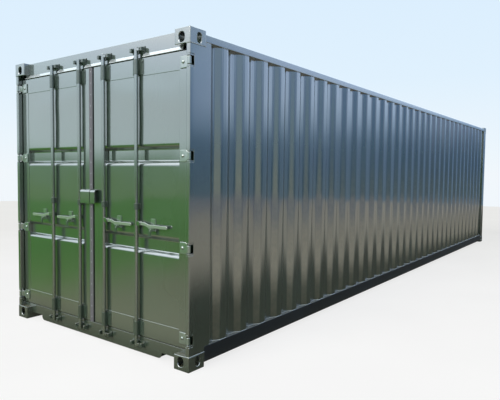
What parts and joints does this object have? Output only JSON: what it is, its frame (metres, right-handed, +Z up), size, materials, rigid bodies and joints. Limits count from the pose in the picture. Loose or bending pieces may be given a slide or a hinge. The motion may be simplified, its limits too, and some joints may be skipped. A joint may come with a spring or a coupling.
{
  "type": "shipping container",
  "caption": "Dark green steel shipping container with corrugated sides, panelled end doors, lock rods with handles, hollow corner castings and a plywood floor",
  "frame": {"origin": "middle of the footprint, at the underside of the corner castings", "axes": "+Z up; +Y from the door end to the closed end; +X to the right when the doors are looked at from outside"},
  "size_m": [2.438, 9.754, 2.591],
  "materials": {
    "green_paint": "gloss",
    "floor_boards": "matte",
    "door_rubber": "matte"
  },
  "bodies": {
    "frame": {"top_castings": "green_paint", "bottom_castings": "green_paint", "door_post_left": "green_paint", "door_post_right": "green_paint", "far_posts": "green_paint", "top_rails": "green_paint", "bottom_rails": "green_paint", "side_wall_left": "green_paint", "side_wall_right": "green_paint", "far_wall": "green_paint", "far_header": "green_paint", "far_sill": "green_paint", "roof": "green_paint", "cross_members": "green_paint", "floor": "floor_boards", "door_header": "green_paint", "drip_ledge": "green_paint", "door_sill": "green_paint", "hinge_lugs": "green_paint", "cam_keepers": "green_paint"},
    "door_left": {"door_frame_left": "green_paint", "door_panel_left": "green_paint", "door_gasket_left": "door_rubber", "hinge_blades_left": "green_paint", "rod_brackets_left": "green_paint", "handle_retainers_left": "green_paint", "lock_box_left": "green_paint"},
    "left_inner_rod": {"lock_rod_left_inner": "green_paint"},
    "left_inner_handle": {"handle_left_inner": "green_paint"},
    "left_inner_catch": {"catch_left_inner": "green_paint"},
    "left_outer_rod": {"lock_rod_left_outer": "green_paint"},
    "left_outer_handle": {"handle_left_outer": "green_paint"},
    "left_outer_catch": {"catch_left_outer": "green_paint"},
    "door_right": {"door_frame_right": "green_paint", "door_panel_right": "green_paint", "door_gasket_right": "door_rubber", "hinge_blades_right": "green_paint", "rod_brackets_right": "green_paint", "handle_retainers_right": "green_paint", "lock_box_right": "green_paint"},
    "right_inner_rod": {"lock_rod_right_inner": "green_paint"},
    "right_inner_handle": {"handle_right_inner": "green_paint"},
    "right_inner_catch": {"catch_right_inner": "green_paint"},
    "right_outer_rod": {"lock_rod_right_outer": "green_paint"},
    "right_outer_handle": {"handle_right_outer": "green_paint"},
    "right_outer_catch": {"catch_right_outer": "green_paint"}
  },
  "joints": [
    {"name": "door_left_swing", "type": "hinge", "parent": "frame", "child": "door_left", "pos_m": [-1.197, -4.861, 1.294], "axis": [0, 0, -1], "range_deg": [0, 265]},
    {"name": "left_inner_rod_turn", "type": "hinge", "parent": "door_left", "child": "left_inner_rod", "pos_m": [-0.175, -4.853, 1.294], "axis": [0, 0, -1], "range_deg": [-100, 0]},
    {"name": "left_inner_handle_lift", "type": "hinge", "parent": "left_inner_rod", "child": "left_inner_handle", "pos_m": [-0.211, -4.853, 1.1], "axis": [0, -1, 0], "range_deg": [-25, 0]},
    {"name": "left_inner_catch_turn", "type": "hinge", "parent": "door_left", "child": "left_inner_catch", "pos_m": [-0.353, -4.8695, 1.0491], "axis": [0, 1, 0], "range_deg": [0, 180]},
    {"name": "left_outer_rod_turn", "type": "hinge", "parent": "door_left", "child": "left_outer_rod", "pos_m": [-0.6, -4.853, 1.294], "axis": [0, 0, -1], "range_deg": [-100, 0]},
    {"name": "left_outer_handle_lift", "type": "hinge", "parent": "left_outer_rod", "child": "left_outer_handle", "pos_m": [-0.636, -4.853, 1.1], "axis": [0, -1, 0], "range_deg": [-25, 0]},
    {"name": "left_outer_catch_turn", "type": "hinge", "parent": "door_left", "child": "left_outer_catch", "pos_m": [-0.778, -4.8695, 1.0491], "axis": [0, 1, 0], "range_deg": [0, 180]},
    {"name": "door_right_swing", "type": "hinge", "parent": "frame", "child": "door_right", "pos_m": [1.197, -4.861, 1.294], "axis": [0, 0, 1], "range_deg": [0, 265]},
    {"name": "right_inner_rod_turn", "type": "hinge", "parent": "door_right", "child": "right_inner_rod", "pos_m": [0.175, -4.853, 1.294], "axis": [0, 0, 1], "range_deg": [-100, 0]},
    {"name": "right_inner_handle_lift", "type": "hinge", "parent": "right_inner_rod", "child": "right_inner_handle", "pos_m": [0.211, -4.853, 1.1], "axis": [0, 1, 0], "range_deg": [-25, 0]},
    {"name": "right_inner_catch_turn", "type": "hinge", "parent": "door_right", "child": "right_inner_catch", "pos_m": [0.353, -4.8695, 1.0491], "axis": [0, 1, 0], "range_deg": [0, 180]},
    {"name": "right_outer_rod_turn", "type": "hinge", "parent": "door_right", "child": "right_outer_rod", "pos_m": [0.6, -4.853, 1.294], "axis": [0, 0, 1], "range_deg": [-100, 0]},
    {"name": "right_outer_handle_lift", "type": "hinge", "parent": "right_outer_rod", "child": "right_outer_handle", "pos_m": [0.636, -4.853, 1.1], "axis": [0, 1, 0], "range_deg": [-25, 0]},
    {"name": "right_outer_catch_turn", "type": "hinge", "parent": "door_right", "child": "right_outer_catch", "pos_m": [0.778, -4.8695, 1.0491], "axis": [0, 1, 0], "range_deg": [0, 180]}
  ]
}
